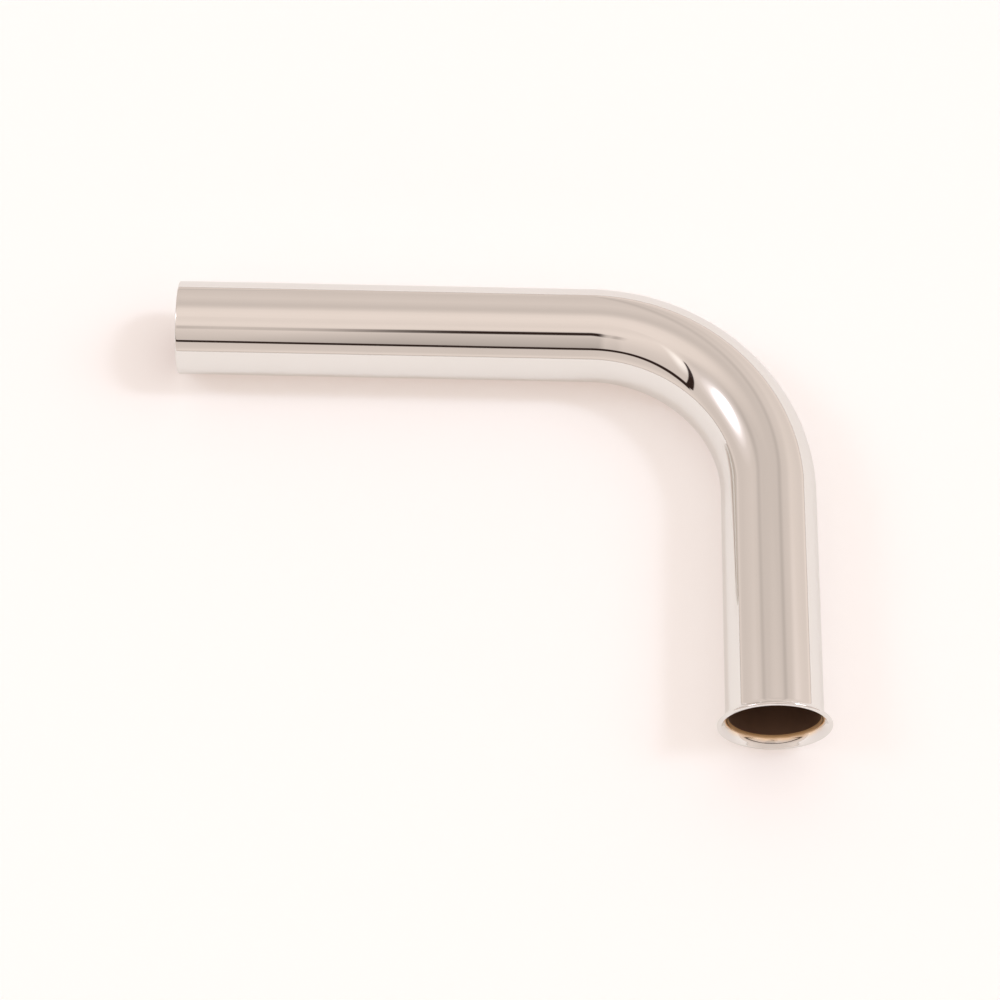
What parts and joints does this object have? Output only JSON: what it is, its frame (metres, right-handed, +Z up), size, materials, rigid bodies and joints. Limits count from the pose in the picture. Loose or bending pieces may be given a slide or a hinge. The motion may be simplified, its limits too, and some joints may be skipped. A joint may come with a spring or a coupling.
{
  "type": "waste pipe bend",
  "caption": "Right-angle chrome-plated waste pipe bend with a long plain leg for a compression joint and a shorter leg ending in a sealing flange.",
  "frame": {"origin": "on the surface the bend lies on, under the middle of its bounding box", "axes": "+Z up, -X along the plain leg towards its cut end, -Y along the flanged leg towards the flange"},
  "size_m": [0.2196, 0.1614, 0.0374],
  "materials": {
    "chrome_plate": "polished chrome plate on a brass tube"
  },
  "bodies": {
    "root": {"pipe_bend": "chrome_plate"}
  },
  "joints": []
}
